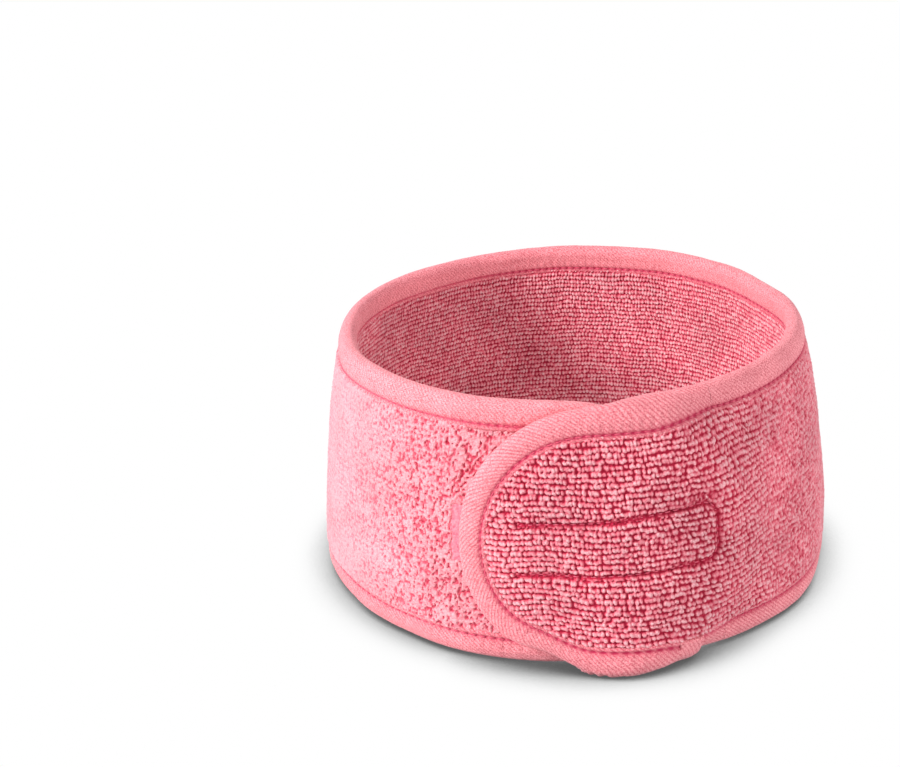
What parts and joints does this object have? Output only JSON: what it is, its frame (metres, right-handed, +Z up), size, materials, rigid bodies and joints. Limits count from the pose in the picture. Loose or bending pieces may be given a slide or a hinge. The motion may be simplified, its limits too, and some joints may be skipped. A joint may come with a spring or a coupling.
{
  "type": "spa headband",
  "caption": "Towelling headband with a folded edge tape, standing as a ring, its rounded flap closed over the other end by hook and loop.",
  "frame": {"origin": "middle of the plan at the lower edge the ring stands on", "axes": "+Z up along the axis of the ring; -Y is the front where the flap closes; the tip of the flap points to -X"},
  "size_m": [0.171, 0.1787, 0.085],
  "materials": {
    "terry": "looped towelling, matt",
    "binding": "brushed twill tape",
    "thread": "spun thread",
    "hook_strip": "fine moulded hooks",
    "loop_strip": "brushed loops"
  },
  "bodies": {
    "back": {"outer_terry_back": "terry", "inner_terry_back": "terry", "top_binding_back": "binding", "bottom_binding_back": "binding", "binding_seam_back": "thread"},
    "left_back": {"outer_terry_left_back": "terry", "inner_terry_left_back": "terry", "top_binding_left_back": "binding", "bottom_binding_left_back": "binding", "binding_seam_left_back": "thread"},
    "left_front": {"outer_terry_left_front": "terry", "inner_terry_left_front": "terry", "top_binding_left_front": "binding", "bottom_binding_left_front": "binding", "binding_seam_left_front": "thread"},
    "right_back": {"outer_terry_right_back": "terry", "inner_terry_right_back": "terry", "top_binding_right_back": "binding", "bottom_binding_right_back": "binding", "binding_seam_right_back": "thread"},
    "right_front": {"outer_terry_right_front": "terry", "inner_terry_right_front": "terry", "top_binding_right_front": "binding", "bottom_binding_right_front": "binding", "binding_seam_right_front": "thread"},
    "under_end": {"outer_terry_under_end": "terry", "inner_terry_under_end": "terry", "binding_under_end": "binding", "binding_seam_under_end": "thread", "loop_strip": "loop_strip", "loop_strip_seam": "thread"},
    "flap": {"outer_terry_flap": "terry", "inner_terry_flap": "terry", "binding_flap": "binding", "binding_lap": "binding", "binding_seam_flap": "thread", "hook_strip": "hook_strip", "hook_strip_seam": "thread"}
  },
  "joints": [
    {"name": "band_open", "type": "hinge", "parent": "back", "child": "right_back", "pos_m": [0.0364, 0.0812, 0.0425], "axis": [0, 0, 1], "range_deg": [0, 50]},
    {"name": "open_right_front", "type": "hinge", "parent": "right_back", "child": "right_front", "pos_m": [0.0841, 0.01927, 0.0425], "axis": [0, 0, 1], "range_deg": [0, 70]},
    {"name": "open_left_back", "type": "hinge", "parent": "back", "child": "left_back", "pos_m": [-0.04171, 0.07847, 0.0425], "axis": [0, 0, -1], "range_deg": [0, 30]},
    {"name": "open_left_front", "type": "hinge", "parent": "left_back", "child": "left_front", "pos_m": [-0.08497, 0.01337, 0.0425], "axis": [0, 0, -1], "range_deg": [0, 25]},
    {"name": "open_under_end", "type": "hinge", "parent": "left_front", "child": "under_end", "pos_m": [-0.05721, -0.0597, 0.0425], "axis": [0, 0, -1], "range_deg": [0, 25]},
    {"name": "flap_peel", "type": "hinge", "parent": "right_front", "child": "flap", "pos_m": [0.0615, -0.05555, 0.0425], "axis": [0, 0, 1], "range_deg": [0, 100]}
  ],
  "couplings": [
    {"joint": "open_right_front", "follows": "band_open", "ratio": 1.4},
    {"joint": "open_left_back", "follows": "band_open", "ratio": 0.6},
    {"joint": "open_left_front", "follows": "band_open", "ratio": 0.5},
    {"joint": "open_under_end", "follows": "band_open", "ratio": 0.5}
  ]
}
